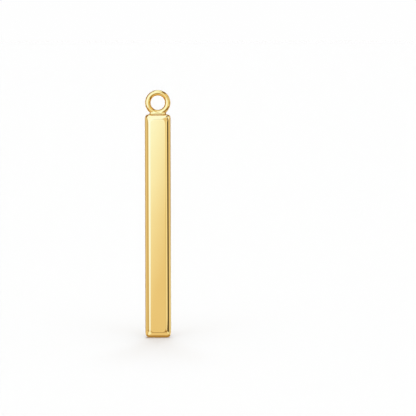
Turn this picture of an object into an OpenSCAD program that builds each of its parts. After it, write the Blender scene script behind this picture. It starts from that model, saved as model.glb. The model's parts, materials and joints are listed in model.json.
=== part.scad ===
// Bar earring drop: an upright rounded bar with a closed wire ring soldered on the middle of its top end.
// The origin is the centre of the ring's eye. +Z points up along the bar, X runs across its front panel,
// and the front panel faces -Y. All sizes are in millimetres.

/* [Bar] */
// Width of the bar across its front panel
bar_w = 3; // [2.6:0.1:5]
// Depth of the bar from front to back
bar_d = 2; // [1.5:0.1:3]
// Length of the bar from its top end to its bottom end
bar_l = 26; // [12:1:45]
// Rounding of every edge and corner of the bar
edge_r = 0.5; // [0.2:0.05:0.6]

/* [Ring] */
// Diameter of the ring's eye, which slips on an ear wire or a hoop
eye_d = 1.66; // [1.3:0.02:2.2]
// Diameter of the ring's round wire
wire_d = 0.65; // [0.5:0.05:0.8]
// How far the ring's outside is let into the bar's top end
ring_sink = 0.1; // [0.04:0.02:0.2]

/* [Solder foot] */
// Height to which the solder fills the notch between the ring and the bar's top end
foot_h = 0.22; // [0.15:0.01:0.35]
// Depth of the foot from front to back, above the flare at its base
foot_d = 0.5; // [0.4:0.02:0.6]
// Radius of the hollow flare at the foot's base
flare_r = 0.1; // [0.05:0.01:0.14]

/* [Hidden] */
$fn = 96;
// How far the foot reaches below the bar's top end, inside the bar
foot_root = 0.2;
// Radii of the ring's outside and of its wire's centre line
ring_r = eye_d / 2 + wire_d;
ring_mid_r = (eye_d + wire_d) / 2;
// Heights of the bar's top end and of its middle, measured from the centre of the eye
bar_top_z = ring_sink - ring_r;
bar_mid_z = bar_top_z - bar_l / 2;
// Half the foot's width, where its upper rim meets the ring's outside
foot_half_w = sqrt(pow(ring_r, 2) - pow(bar_top_z + foot_h, 2));

// A rectangle with round corners, its middle at the origin
module rounded_rect(w, h, r) {
    square([w - 2 * r, h], center = true);
    square([w, h - 2 * r], center = true);
    for (x = [-1, 1], y = [-1, 1])
        translate([x * (w / 2 - r), y * (h / 2 - r)])
            circle(r);
}

// A round rod of the edge radius along each side of a flat frame, with a ball in each corner
module rounded_frame(w, d, r) {
    for (y = [-1, 1])
        translate([0, y * (d / 2 - r), 0])
            rotate([0, 90, 0])
                cylinder(h = w - 2 * r, r = r, center = true);
    for (x = [-1, 1])
        translate([x * (w / 2 - r), 0, 0])
            rotate([90, 0, 0])
                cylinder(h = d - 2 * r, r = r, center = true);
    for (x = [-1, 1], y = [-1, 1])
        translate([x * (w / 2 - r), y * (d / 2 - r), 0])
            sphere(r);
}

// The bar: a shaft with rounded long edges, its core run on to both ends, and a rounded frame round each end
module bar() {
    translate([0, 0, bar_mid_z]) {
        linear_extrude(bar_l - 2 * edge_r, center = true)
            rounded_rect(bar_w, bar_d, edge_r);
        cube([bar_w - 2 * edge_r, bar_d - 2 * edge_r, bar_l], center = true);
        for (z = [-1, 1])
            translate([0, 0, z * (bar_l / 2 - edge_r)])
                rounded_frame(bar_w, bar_d, edge_r);
    }
}

// The ring: round wire bent round the eye
module ring() {
    rotate([90, 0, 0])
        rotate_extrude()
            translate([ring_mid_r, 0])
                circle(d = wire_d);
}

// Outline of the foot seen from one side: upright, with a hollow flare at its base
module foot_outline(half_w) {
    difference() {
        translate([-half_w - flare_r, -foot_root])
            square([2 * (half_w + flare_r), foot_root + foot_h]);
        for (side = [-1, 1])
            translate([side * (half_w + flare_r), flare_r]) {
                circle(flare_r);
                translate([-flare_r, 0])
                    square([2 * flare_r, foot_h]);
            }
    }
}

// The solder foot: its front outline, side outline and rounded plan meet in one low block
module solder_foot() {
    translate([0, 0, bar_top_z])
        intersection() {
            rotate([90, 0, 0])
                linear_extrude(bar_d, center = true)
                    foot_outline(foot_half_w);
            rotate([90, 0, 90])
                linear_extrude(bar_w, center = true)
                    foot_outline(foot_d / 2);
            translate([0, 0, -foot_root])
                linear_extrude(foot_root + foot_h)
                    rounded_rect(2 * (foot_half_w + flare_r), foot_d + 2 * flare_r, foot_d / 2);
        }
}

// Bar, ring and foot are soldered into one piece of gold-plated metal
module bar_drop() {
    color("gold") {
        bar();
        ring();
        solder_foot();
    }
}

bar_drop();
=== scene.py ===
"""Looks of the bar earring drop: one fused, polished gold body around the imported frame, on a pale floor.

The body's surface is the zero level of a distance function: a soft-edged bar, a low solder bead and a wire
torus that run into each other. A grid of cells turns that surface into one closed mesh of quads.
"""

import json
import math

import bpy
import numpy as np
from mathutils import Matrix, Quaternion, Vector


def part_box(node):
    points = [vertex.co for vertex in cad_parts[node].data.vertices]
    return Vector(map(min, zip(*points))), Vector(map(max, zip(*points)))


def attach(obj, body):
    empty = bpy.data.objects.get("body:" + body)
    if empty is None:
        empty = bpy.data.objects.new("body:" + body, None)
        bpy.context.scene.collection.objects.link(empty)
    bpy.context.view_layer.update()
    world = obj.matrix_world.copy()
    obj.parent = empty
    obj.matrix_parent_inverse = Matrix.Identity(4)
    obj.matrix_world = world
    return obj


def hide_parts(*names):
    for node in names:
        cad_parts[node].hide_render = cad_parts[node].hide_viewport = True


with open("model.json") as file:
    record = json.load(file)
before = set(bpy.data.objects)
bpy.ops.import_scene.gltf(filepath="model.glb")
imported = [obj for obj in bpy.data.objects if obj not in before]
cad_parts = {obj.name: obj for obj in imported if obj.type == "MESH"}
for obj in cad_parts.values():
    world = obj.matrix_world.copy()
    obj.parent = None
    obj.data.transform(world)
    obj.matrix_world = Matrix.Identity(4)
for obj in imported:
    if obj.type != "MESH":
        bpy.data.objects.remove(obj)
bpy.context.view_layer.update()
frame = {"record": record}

MM = 0.001
NODE = "bar_drop"

# Sizes of the drop in millimetres, all from the frame. The frame's origin is the centre of the ring's eye.
low, high = (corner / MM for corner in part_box(NODE))
mount = frame["record"]["mounts"][0]
BAR_HALF_W = high.x
BAR_HALF_D = high.y
BAR_BOTTOM = low.z
EYE_R = mount["dims"]["r_mm"]
WIRE_R = mount["dims"]["length_mm"] / 2
RING_R = EYE_R + 2 * WIRE_R
WIRE_MID_R = EYE_R + WIRE_R
# The ring's outside is let into the bar's top end this far: as in the solids, and a hair more, as it looks.
RING_SINK = 0.1 + 0.04
BAR_TOP = RING_SINK - RING_R

# The edges between faces reach this far in, in a curve that is flatter than an arc at a power below 2.
EDGE_REACH = 0.62
EDGE_POWER = 1.5
# The outline's corners run out over END_REACH in a squarer curve. Its powers are for the top end, for the
# foot end, and for the front and back faces, where the corners are rounder.
END_REACH = BAR_HALF_W
TOP_POWER = 8.5
FOOT_POWER = 7
FACE_POWER = 5.5
# How much lower the polished faces lie at their edges than in their middle
CROWN = 0.015
# The bead of solder at the ring's foot: half its width and depth, its rise above the bar, its reach into
# the bar and its round rim
BEAD_HALF_W = 0.97
BEAD_HALF_D = 0.33
BEAD_TOP = 0.2
BEAD_SINK = 0.1
BEAD_R = 0.12
# How far ring and bead run into each other, and bead and bar
RING_REACH = 0.16
BAR_REACH = 0.05
# The mesh's grid: its step across and at the bar's ends and the ring, its step along the plain shaft, its
# margin round the drop, and the rounds that move its points on to the true surface
FINE_STEP = 0.035
SHAFT_STEP = 1.2
GRID_MARGIN = 0.06
SETTLE_ROUNDS = 4
# How far to either side the slope of the distance is taken
SLOPE_STEP = 0.0005


def bar_distance(x, y, z):
    """Distance to the bar: a squarish outline and faintly crowned faces, joined by softened edges."""
    mid_z, half_l = (BAR_TOP + BAR_BOTTOM) / 2, (BAR_TOP - BAR_BOTTOM) / 2
    past_end = np.maximum(np.abs(z - mid_z) - half_l + END_REACH, 0)
    near_face = np.minimum(np.abs(y) / BAR_HALF_D, 1) ** 2
    power = np.where(z > mid_z, TOP_POWER, FOOT_POWER) * (1 - near_face) + FACE_POWER * near_face
    outline = (np.abs(x) ** power + past_end**power) ** (1 / power) - BAR_HALF_W
    side = outline + CROWN * (y / BAR_HALF_D) ** 2 + EDGE_REACH
    face = np.abs(y) - BAR_HALF_D + CROWN * (x / BAR_HALF_W) ** 2 + EDGE_REACH
    beyond = np.maximum(side, 0) ** EDGE_POWER + np.maximum(face, 0) ** EDGE_POWER
    return beyond ** (1 / EDGE_POWER) + np.minimum(np.maximum(side, face), 0) - EDGE_REACH


def ring_distance(x, y, z):
    """Signed distance to the ring, a torus round the Y axis."""
    return np.hypot(np.hypot(x, z) - WIRE_MID_R, y) - WIRE_R


def bead_distance(x, y, z):
    """Signed distance to the solder bead, a low block with round rims."""
    mid, half = BAR_TOP + (BEAD_TOP - BEAD_SINK) / 2, (BEAD_TOP + BEAD_SINK) / 2
    dx = np.abs(x) - BEAD_HALF_W + BEAD_R
    dy = np.abs(y) - BEAD_HALF_D + BEAD_R
    dz = np.abs(z - mid) - half + BEAD_R
    beyond = np.sqrt(np.maximum(dx, 0) ** 2 + np.maximum(dy, 0) ** 2 + np.maximum(dz, 0) ** 2)
    return beyond + np.minimum(np.maximum(np.maximum(dx, dy), dz), 0) - BEAD_R


def joined(first, second, reach):
    """The nearer of two distances, lowered smoothly where they differ by less than the reach."""
    near = np.maximum(reach - np.abs(first - second), 0) / reach
    return np.minimum(first, second) - near**3 * reach / 6


def drop_distance(x, y, z):
    """Ring, solder bead and bar, run into each other."""
    foot = joined(ring_distance(x, y, z), bead_distance(x, y, z), RING_REACH)
    return joined(foot, bar_distance(x, y, z), BAR_REACH)


def slope(points):
    """Gradient of the drop's distance at each point, by central differences."""
    sides = []
    for axis in np.eye(3) * SLOPE_STEP:
        ahead, behind = drop_distance(*(points + axis).T), drop_distance(*(points - axis).T)
        sides.append((ahead - behind) / (2 * SLOPE_STEP))
    return np.stack(sides, axis=1)


def cell_surface(xs, ys, zs):
    """Points and quads of the drop's surface: a point in each cell it crosses, a quad per crossed edge."""
    lines = (xs, ys, zs)
    field = drop_distance(*np.meshgrid(*lines, indexing="ij"))
    cells = tuple(n - 1 for n in field.shape)
    total, count = np.zeros(cells + (3,)), np.zeros(cells)
    crossed_edges = []
    for axis in range(3):
        start = [slice(None)] * 3
        stop = [slice(None)] * 3
        start[axis], stop[axis] = slice(0, -1), slice(1, None)
        before, after = field[tuple(start)], field[tuple(stop)]
        crossed = (before < 0) != (after < 0)
        share = np.where(crossed, before / np.where(crossed, before - after, 1), 0)
        grid = [line[:-1] if a == axis else line for a, line in enumerate(lines)]
        place = np.stack(np.meshgrid(*grid, indexing="ij"), axis=-1)
        spacing = np.diff(lines[axis]).reshape([-1 if a == axis else 1 for a in range(3)])
        place[..., axis] += share * spacing
        place *= crossed[..., None]
        others = [a for a in range(3) if a != axis]
        for first in (0, 1):
            for second in (0, 1):
                part = [slice(None)] * 3
                for a, shift in zip(others, (first, second)):
                    part[a] = slice(shift, cells[a] + shift)
                total += place[tuple(part)]
                count += crossed[tuple(part)]
        crossed_edges.append((axis, others, crossed, before < 0))
    number = np.full(cells, -1)
    number[count > 0] = np.arange(int((count > 0).sum()))
    points = total[count > 0] / count[count > 0][:, None]
    quads = []
    for axis, others, crossed, starts_inside in crossed_edges:
        where = np.argwhere(crossed)
        around = []
        for first, second in ((-1, -1), (0, -1), (0, 0), (-1, 0)):
            cell = where.copy()
            cell[:, others[0]] += first
            cell[:, others[1]] += second
            around.append(number[tuple(cell.T)])
        around = np.stack(around, axis=1)
        turn = starts_inside[tuple(where.T)] != (axis == 1)
        quads.append(np.where(turn[:, None], around, around[:, ::-1]))
    return points, np.concatenate(quads)


def spread(*stops):
    """Grid lines through the stops, each stretch cut into steps of the size that goes with it."""
    lines = [np.array([stops[0]])]
    for begin, step, end in zip(stops[0:-2:2], stops[1:-1:2], stops[2::2]):
        count = max(1, round((end - begin) / step))
        lines.append(np.linspace(begin, end, count + 1)[1:])
    return np.concatenate(lines)


def drop_mesh():
    """The whole drop as one closed mesh, each point on the true surface, with the surface's own normal."""
    x_reach, y_reach = BAR_HALF_W + GRID_MARGIN, BAR_HALF_D + GRID_MARGIN
    z_low, z_high = BAR_BOTTOM - GRID_MARGIN, RING_R + GRID_MARGIN
    shaft_low, shaft_high = BAR_BOTTOM + END_REACH, BAR_TOP - END_REACH
    points, quads = cell_surface(
        spread(-x_reach, FINE_STEP, x_reach),
        spread(-y_reach, FINE_STEP, y_reach),
        spread(z_low, FINE_STEP, shaft_low, SHAFT_STEP, shaft_high, FINE_STEP, z_high),
    )
    for _ in range(SETTLE_ROUNDS):
        steep = slope(points)
        points -= steep * (drop_distance(*points.T) / (steep**2).sum(1))[:, None]
    normals = slope(points)
    normals /= np.linalg.norm(normals, axis=1)[:, None]
    mesh = bpy.data.meshes.new("drop_body")
    mesh.from_pydata((points * MM).tolist(), [], quads.tolist())
    mesh.validate()
    mesh.polygons.foreach_set("use_smooth", [True] * len(mesh.polygons))
    mesh.normals_split_custom_set_from_vertices(normals.tolist())
    return mesh


def node_setter(tree):
    """Returns a short way to add a node: add(type, {input: value or socket}, attribute=value...)."""

    def add(kind, inputs=None, **settings):
        made = tree.nodes.new(kind)
        for name, value in settings.items():
            setattr(made, name, value)
        for name, value in (inputs or {}).items():
            if isinstance(value, bpy.types.NodeSocket):
                tree.links.new(value, made.inputs[name])
            else:
                made.inputs[name].default_value = value
        return made

    return add


def new_material(name):
    material = bpy.data.materials.new(name)
    material.use_nodes = True
    material.node_tree.nodes.clear()
    return material, node_setter(material.node_tree)


def fade(add, value, start, end, most=1.0):
    """A share that runs smoothly from 0 at the start to the most at the end, both in millimetres."""
    share = add(
        "ShaderNodeMapRange",
        {"Value": value, "From Min": start * MM, "From Max": end * MM, "To Min": 0.0, "To Max": most},
        interpolation_type="SMOOTHSTEP",
    )
    return share.outputs[0]


def blend(add, share, first, second):
    """The first colour with this share of the second in it."""
    return add("ShaderNodeMix", {0: share, 6: first, 7: (*second, 1)}, data_type="RGBA").outputs[2]


def times(add, first, second):
    return add("ShaderNodeMath", {0: first, 1: second}, operation="MULTIPLY").outputs[0]


def absolute(add, value):
    return add("ShaderNodeMath", {0: value}, operation="ABSOLUTE").outputs[0]


# The gold drifts between two tones, each at its share of the noise. The wire has a tone of its own. The
# eye's wall, the nooks beside the bead and the seam under it are darkened with painted shade, standing in
# for their hollows' shade.
GOLD_TONES = [(0.3, (0.85, 0.585, 0.207)), (0.7, (0.862, 0.6, 0.218))]
DRIFT_SCALE = 180.0
WIRE_GOLD = (0.852, 0.575, 0.178)
EYE_PAINTED_SHADE = (0.8, 0.48, 0.11)
NOOK_PAINTED_SHADE = (0.5, 0.21, 0.025)
SEAM_PAINTED_SHADE = (0.5, 0.27, 0.05)
# Roughness of the polished gold and of the solder
POLISHED = 0.06
SOLDERED = 0.16


def polished_gold():
    """Polished yellow gold plating, richer on the wire, duller on the solder, with painted shade in seam,
    nooks and eye.
    """
    material, add = new_material("polished_gold")
    place = add("ShaderNodeTexCoord").outputs["Object"]
    drift = add("ShaderNodeTexNoise", {"Vector": place, "Scale": DRIFT_SCALE, "Detail": 2.0})
    tone = add("ShaderNodeValToRGB", {"Fac": drift.outputs["Fac"]})
    for element, (position, gold) in zip(tone.color_ramp.elements, GOLD_TONES):
        element.position = position
        element.color = (*gold, 1)
    axes = add("ShaderNodeSeparateXYZ", {"Vector": place}).outputs
    side, depth = absolute(add, axes["X"]), absolute(add, axes["Y"])
    flat = add("ShaderNodeCombineXYZ", {"X": axes["X"], "Z": axes["Z"]}).outputs[0]
    radius = add("ShaderNodeVectorMath", {0: flat}, operation="LENGTH").outputs["Value"]
    # Shares of the wire above the bar, and of the eye's wall within it, which gets painted shade
    wire = fade(add, axes["Z"], BAR_TOP + 0.03, BAR_TOP + 0.12)
    eye = times(add, wire, fade(add, radius, EYE_R + 0.24, EYE_R + 0.06))
    # The seam's painted shade: from just below the bar's top end to just above it, round the bead's foot
    seam_low = fade(add, axes["Z"], BAR_TOP - 0.065, BAR_TOP - 0.035)
    seam = times(add, seam_low, fade(add, axes["Z"], BAR_TOP + 0.06, BAR_TOP + 0.03))
    seam = times(add, seam, fade(add, side, BEAD_HALF_W + 0.12, BEAD_HALF_W, 0.75))
    seam = times(add, seam, fade(add, depth, BEAD_HALF_D + 0.22, BEAD_HALF_D + 0.14))
    # The nooks' painted shade, and the solder: up to where the wire leaves the bead, the nooks only at the
    # bead's ends
    above_bar = fade(add, axes["Z"], BAR_TOP, BAR_TOP + 0.03)
    nook_shade = times(add, above_bar, fade(add, axes["Z"], BAR_TOP + 0.34, BAR_TOP + 0.2))
    nook_shade = times(add, nook_shade, fade(add, side, BEAD_HALF_W - 0.22, BEAD_HALF_W - 0.12, 0.85))
    solder = times(add, above_bar, fade(add, axes["Z"], BAR_TOP + 0.3, BAR_TOP + 0.18))
    colour = blend(add, wire, tone.outputs["Color"], WIRE_GOLD)
    # Painted shade: the eye's wall, the nooks and the seam are darkened where shade falls
    colour = blend(add, eye, colour, EYE_PAINTED_SHADE)
    colour = blend(add, nook_shade, colour, NOOK_PAINTED_SHADE)
    colour = blend(add, seam, colour, SEAM_PAINTED_SHADE)
    dull = add("ShaderNodeMapRange", {"Value": solder, "To Min": POLISHED, "To Max": SOLDERED}).outputs[0]
    surface = add("ShaderNodeBsdfPrincipled", {"Base Color": colour, "Metallic": 1.0, "Roughness": dull})
    add("ShaderNodeOutputMaterial", {"Surface": surface.outputs["BSDF"]})
    return material


def build_drop():
    body = bpy.data.objects.new("drop_body", drop_mesh())
    bpy.context.scene.collection.objects.link(body)
    body.data.materials.append(polished_gold())
    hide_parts(NODE)
    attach(body, "root")


# The photograph's frame is 416 pixels square. The ring's eye is centred on this pixel of it, at this scale.
# The camera looks down by its elevation and rolls, as the drop leans a hair in the photograph.
FRAME_PX = 416
EYE_PX = (157.75, 102.7)
PX_PER_MM = 8.59
CAMERA_DISTANCE = 400.0
CAMERA_ELEVATION = 3.0
CAMERA_ROLL = -0.09
SENSOR = 36.0


def build_camera():
    """A long lens, almost level, that puts the drop where the photograph has it."""
    data = bpy.data.cameras.new("camera")
    data.sensor_width = SENSOR
    data.lens = SENSOR * CAMERA_DISTANCE / (FRAME_PX / PX_PER_MM)
    data.clip_start, data.clip_end = 0.01, 10.0
    camera = bpy.data.objects.new("camera", data)
    bpy.context.scene.collection.objects.link(camera)
    pitch = Quaternion((1, 0, 0), math.radians(90 - CAMERA_ELEVATION))
    turn = pitch @ Quaternion((0, 0, 1), math.radians(CAMERA_ROLL))
    right, up, back = (turn @ Vector(axis) for axis in ((1, 0, 0), (0, 1, 0), (0, 0, 1)))
    aim = right * (FRAME_PX / 2 - EYE_PX[0]) + up * (EYE_PX[1] - FRAME_PX / 2)
    aim /= PX_PER_MM
    camera.location = (aim + back * CAMERA_DISTANCE) * MM
    camera.rotation_euler = turn.to_euler()
    bpy.context.scene.camera = camera


# Light of the plain backdrop. The floor's tone and the soft lamps over it add up to the same light.
BACKDROP = 0.993
FLOOR_TONE = (0.53, 0.42, 0.32)
FLOOR_GAP = 0.02
FLOOR_SIZE = 18000
# Cards give light of up to this strength. White light of strength 1 shows the gold in its own colour.
PEAK = 3.6
CREAM = (1.17, 1.66, 3.4)


def build_backdrop():
    """A pale floor just under the bar's foot that runs without a seam into the light behind it."""
    world = bpy.data.worlds.new("studio")
    bpy.context.scene.world = world
    world.use_nodes = True
    world.node_tree.nodes["Background"].inputs["Color"].default_value = (BACKDROP, BACKDROP, BACKDROP, 1)
    bpy.context.scene.view_settings.view_transform = "Standard"
    bpy.ops.mesh.primitive_plane_add(size=FLOOR_SIZE * MM, location=(0, 0, (BAR_BOTTOM - FLOOR_GAP) * MM))
    floor = bpy.context.object
    floor.name = "floor"
    floor.visible_glossy = False
    material, add = new_material("pale_floor")
    surface = add("ShaderNodeBsdfDiffuse", {"Color": (*FLOOR_TONE, 1)})
    add("ShaderNodeOutputMaterial", {"Surface": surface.outputs["BSDF"]})
    floor.data.materials.append(material)


def build_lamp(name, share, elevation, turn, spread_angle):
    """A soft far lamp that gives its share of what the floor lacks. Reflections see the cards instead."""
    lamp = bpy.data.lights.new(name, "SUN")
    lamp.angle = math.radians(spread_angle)
    rise = math.sin(math.radians(elevation))
    lacking = [BACKDROP / tone - BACKDROP for tone in FLOOR_TONE]
    lamp.energy = math.pi * share / rise
    lamp.color = lacking
    holder = bpy.data.objects.new(name, lamp)
    bpy.context.scene.collection.objects.link(holder)
    holder.rotation_euler = (math.radians(90 - elevation), 0, math.radians(turn))
    holder.visible_glossy = False


def light_along(add, start, end, stops):
    """A colour that runs through the stops from the start point to the end point, both in millimetres."""
    start, end = Vector(start) * MM, Vector(end) * MM
    run = (end - start) / (end - start).length_squared
    place = add("ShaderNodeNewGeometry").outputs["Position"]
    offset = add("ShaderNodeVectorMath", {0: place, 1: start}, operation="SUBTRACT").outputs[0]
    share = add("ShaderNodeVectorMath", {0: offset, 1: run}, operation="DOT_PRODUCT").outputs["Value"]
    ramp = add("ShaderNodeValToRGB", {"Fac": share})
    ramp.color_ramp.interpolation = "B_SPLINE"
    elements = ramp.color_ramp.elements
    while len(elements) < len(stops):
        elements.new(0.5)
    for element, (position, light) in zip(elements, stops):
        element.position = position
        element.color = (*[level / PEAK for level in light], 1)
    return ramp.outputs["Color"]


def edge_fade(add, feather):
    """1 in the middle of a card, falling smoothly to 0 at its edges over this share of its half size."""
    axes = add("ShaderNodeSeparateXYZ", {"Vector": add("ShaderNodeTexCoord").outputs["Generated"]})
    shares = []
    for axis in ("X", "Y"):
        off = add("ShaderNodeMath", {0: axes.outputs[axis], 1: 0.5}, operation="SUBTRACT").outputs[0]
        off = absolute(add, off)
        share = add(
            "ShaderNodeMapRange",
            {"Value": off, "From Min": 0.5 - feather / 2, "From Max": 0.5, "To Min": 1.0, "To Max": 0.0},
            interpolation_type="SMOOTHSTEP",
        )
        shares.append(share.outputs[0])
    return times(add, *shares)


def only_reflected(thing):
    """Leaves a stage piece visible in reflections alone."""
    thing.visible_camera = False
    thing.visible_diffuse = False
    thing.visible_transmission = False
    thing.visible_shadow = False


def build_card(name, centre, size, light, feather=0.5, facing=None, lean=0, ramp=None):
    """A studio card, bright or dark, seen in reflections alone. It faces the drop, its edges fade out."""
    bpy.ops.mesh.primitive_plane_add(size=1, location=Vector(centre) * MM)
    card = bpy.context.object
    card.name = name
    card.scale = (size[0] * MM, size[1] * MM, 1)
    toward = Vector(facing) if facing else -Vector(centre)
    roll = Quaternion((0, 0, 1), math.radians(lean))
    card.rotation_euler = (toward.to_track_quat("Z", "Y") @ roll).to_euler()
    material, add = new_material(name)
    tone = light_along(add, *ramp) if ramp else (*[level / PEAK for level in light], 1)
    glow = add("ShaderNodeEmission", {"Color": tone, "Strength": PEAK})
    clear = add("ShaderNodeBsdfTransparent")
    mix = add("ShaderNodeMixShader", {0: edge_fade(add, feather), 1: clear.outputs[0], 2: glow.outputs[0]})
    add("ShaderNodeOutputMaterial", {"Surface": mix.outputs[0]})
    card.data.materials.append(material)
    only_reflected(card)


def seen_at(azimuth, elevation, distance, height=0.0):
    """The point at this azimuth, right of the front, and elevation as seen from the drop at this height."""
    a, e = math.radians(azimuth), math.radians(elevation)
    level = distance * math.cos(e)
    return (level * math.sin(a), -level * math.cos(a), height + distance * math.sin(e))


TENT_RADIUS = 900
# The tent's light at shares of the way from its front to its back
TENT_LIGHT = [
    (0.0, (0.9, 0.87, 0.78)),
    (0.54, (0.95, 0.94, 0.9)),
    (0.66, (0.86, 0.82, 0.74)),
    (0.8, (0.66, 0.57, 0.43)),
    (0.93, (0.42, 0.33, 0.2)),
]


def build_tent():
    """The light tent round the drop: white in front, dimmer and warmer behind, so the outline shows."""
    bpy.ops.mesh.primitive_uv_sphere_add(segments=48, ring_count=24, radius=TENT_RADIUS * MM)
    tent = bpy.context.object
    tent.name = "tent"
    material, add = new_material("tent")
    tone = light_along(add, (0, -TENT_RADIUS, 0), (0, TENT_RADIUS, 0), TENT_LIGHT)
    glow = add("ShaderNodeEmission", {"Color": tone, "Strength": PEAK})
    add("ShaderNodeOutputMaterial", {"Surface": glow.outputs[0]})
    tent.data.materials.append(material)
    only_reflected(tent)


# The front box's light at shares of the way up and left across it, which draws the front panel's gradient
PANEL_LIGHT = [(0.08, (0.96, 0.93, 0.83)), (0.4, (1.145, 1.36, 1.68)), (0.82, (1.17, 1.75, 3.3))]


def build_cards():
    """Soft boxes and flags whose reflections draw the drop: bright at the upper left, dark at the right."""
    mid = (BAR_TOP + BAR_BOTTOM) / 2
    front = -300
    ramp = ((-10, front, -50), (-40, front, -4), PANEL_LIGHT)
    # Large soft boxes and strips: the front panel's gradient, the left side, the top end and the back panel
    build_card("front_box", (-40, front, 22), (170, 234), CREAM, 0.25, facing=(0, 1, 0), ramp=ramp)
    build_card("key_box", seen_at(-40, 33, 290), (440, 540), (1.168, 1.6, 2.9), 0.35)
    build_card("left_strip", seen_at(-42, 0, 270, mid), (165, 170), CREAM, 0.15, lean=-28)
    build_card("right_strip", seen_at(53, 0, 270, mid), (85, 170), (1.15, 1.3, 1.4), 0.4)
    build_card("back_box", (0, 300, -42), (400, 180), (1.0, 1.0, 0.9), 0.25, facing=(0, -1, 0))
    build_card("back_low_box", (0, 320, -150), (900, 110), (0.95, 0.93, 0.82), 0.2, facing=(0, -1, 0))
    build_card("top_box", seen_at(180, 84, 260), (360, 370), (1.16, 1.62, 2.8), 0.15)
    # Flags, fills and glints that shade the sides, the rounded edges and the ring
    build_card("left_flag", seen_at(-81, 0, 240, mid), (80, 260), (0.66, 0.62, 0.48), 0.5)
    build_card("low_front_fill", seen_at(-22, 0, 262, -60), (120, 56), (1.0, 1.0, 0.92), 0.8)
    build_card("low_left_flag", seen_at(-68, 0, 232, -54), (48, 50), (0.66, 0.58, 0.4), 0.9)
    build_card("low_right_glint", seen_at(114, 0, 240, -46), (80, 50), (1.15, 1.35, 1.6), 0.8)
    build_card("right_flag", seen_at(77.5, -3.5, 230, mid), (95, 150), (0.1, 0.09, 0.08), 0.4, lean=-28)
    build_card("right_glint", seen_at(84, 21, 180), (76, 96), (1.16, 1.65, 2.95), 0.6)
    build_card("top_flag", seen_at(114, 58, 150), (110, 75), (0.2, 0.12, 0.04), 0.3)
    build_card("top_left_flag", seen_at(-125, 62, 150), (120, 60), (0.35, 0.22, 0.09), 0.3)
    build_card("edge_fill", (19.1, -36.6, -8.5), (14, 14), (1.15, 1.32, 1.65), 0.6, facing=(-18, 36, 0))
    build_card("high_right_flag", seen_at(64, 20, 225), (64, 104), (0.22, 0.17, 0.1), 0.3)
    build_card("ring_flag", (4.9, -0.8, 7.7), (8, 3.5), (0.2, 0.12, 0.04), 0.3, facing=(-4.2, 0.8, -8))
    # Low and high flags for the lower edges and the ring, and the light from the table
    build_card("left_front_flag", (-150, -281, -134), (310, 150), (0.92, 0.81, 0.62), 0.1, facing=(0, 1, 0))
    build_card("front_low_flag", (60, -280, -139), (265, 166), (0.38, 0.27, 0.14), 0.12, facing=(0, 1, 0))
    build_card("right_low_flag", seen_at(62, -31, 230), (290, 130), (0.3, 0.19, 0.07), 0.3)
    build_card("left_low_flag", seen_at(-84, -36, 200), (195, 170), (0.46, 0.27, 0.08), 0.22)
    build_card("left_high_flag", seen_at(-106, 36, 220), (190, 190), (0.42, 0.27, 0.11), 0.3)
    build_card("table", (0, 0, -75), (190, 190), (0.95, 0.9, 0.78), 0.35, facing=(0, 0, 1))
    # Small cards near the foot for its edges and corners, and under it a dark card: a painted reflection of
    # the floor's shade at the foot
    build_card("left_kicker", (-16, -12.5, -40.5), (17, 22), (1.15, 1.45, 2.0), 0.25, facing=(15, 12, 15))
    build_card("right_kicker", (36, -12, -43), (26, 17), (1.07, 1.2, 1.3), 0.3, facing=(-36, 12, 16))
    build_card("left_side_kicker", (-24, 4, -36.5), (16, 18), (0.98, 0.9, 0.8), 0.3, facing=(22, -4, 11))
    build_card("right_side_kicker", (22.5, 8, -37), (12, 14), (1.1, 1.2, 1.4), 0.4, facing=(-21, -8, 10))
    build_card("corner_fill", (24.9, -31.7, -35.6), (13, 10), (0.85, 0.68, 0.4), 0.5, facing=(-24, 31, 9))
    build_card("corner_flag", (36, -19.5, -32.9), (10, 9), (0.2, 0.15, 0.08), 0.4, facing=(-35, 19, 6))
    build_card("left_corner_fill", (-29.1, -6.2, -36.5), (9, 15), (0.85, 0.76, 0.62), facing=(28, 5, 10))
    build_card("contact_shade", (0, 3.75, BAR_BOTTOM - 2), (12, 10.0), (0.5, 0.36, 0.17), 0.14, facing=(0, 0, 1))


build_camera()
build_backdrop()
build_lamp("top_lamp", share=0.34, elevation=88, turn=180, spread_angle=40)
build_lamp("front_lamp", share=0.35, elevation=44, turn=0, spread_angle=56)
build_lamp("back_lamp", share=0.31, elevation=43, turn=180, spread_angle=23)
build_tent()
build_cards()
build_drop()
